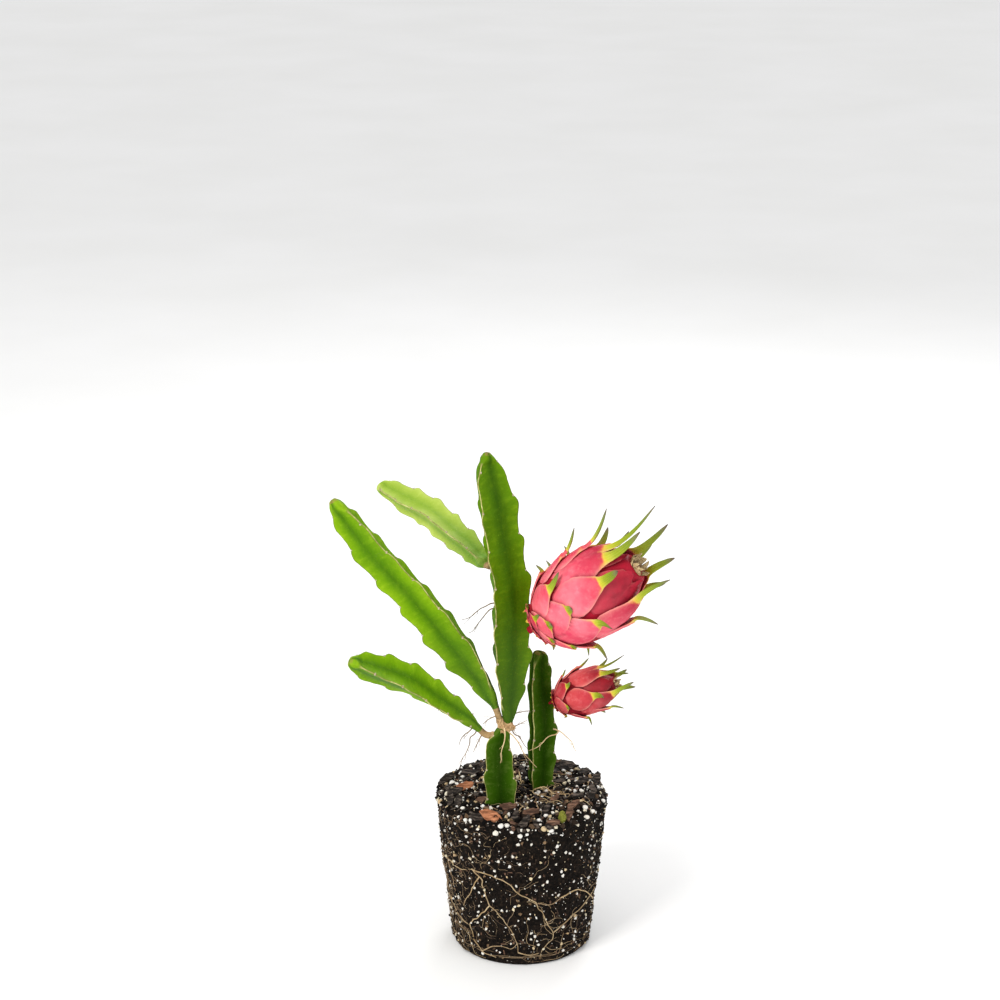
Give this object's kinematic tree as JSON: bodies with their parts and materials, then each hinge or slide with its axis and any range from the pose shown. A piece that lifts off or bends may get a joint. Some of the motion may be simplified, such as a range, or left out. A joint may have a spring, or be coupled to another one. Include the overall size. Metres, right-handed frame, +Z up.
{
  "type": "dragon fruit cactus",
  "caption": "Climbing cactus with three-winged scalloped stems, green-tipped pink fruits and hanging aerial roots, standing in a bare tapered root ball of soil.",
  "frame": {"origin": "centre of the root ball's flat base", "axes": "+Z up; the plant's front, where its shoots turn a flat wing pair to the viewer, faces -Y; the fruits hang toward +X and the young shoots lean toward -X"},
  "size_m": [0.2857, 0.1796, 0.4544],
  "materials": {
    "soil": "crumbly potting mix with perlite and bark",
    "dry_root": "dry, matte",
    "old_stem": "dark green, waxy, with a tan woody crown",
    "young_stem": "mid green, waxy",
    "pale_stem": "pale green, waxy",
    "fruit_skin": "smooth, softly shining",
    "dried_flower": "dry, papery"
  },
  "bodies": {
    "root": {"root_ball": "soil", "wall_roots": "dry_root", "top_roots": "dry_root", "left_cutting": "old_stem", "right_cutting": "old_stem", "shoot_tall": "young_stem", "shoot_left": "young_stem", "shoot_low": "young_stem", "shoot_upper": "pale_stem", "large_fruit": "fruit_skin", "small_fruit": "fruit_skin", "large_fruit_remnant": "dried_flower", "small_fruit_remnant": "dried_flower"}
  },
  "joints": []
}
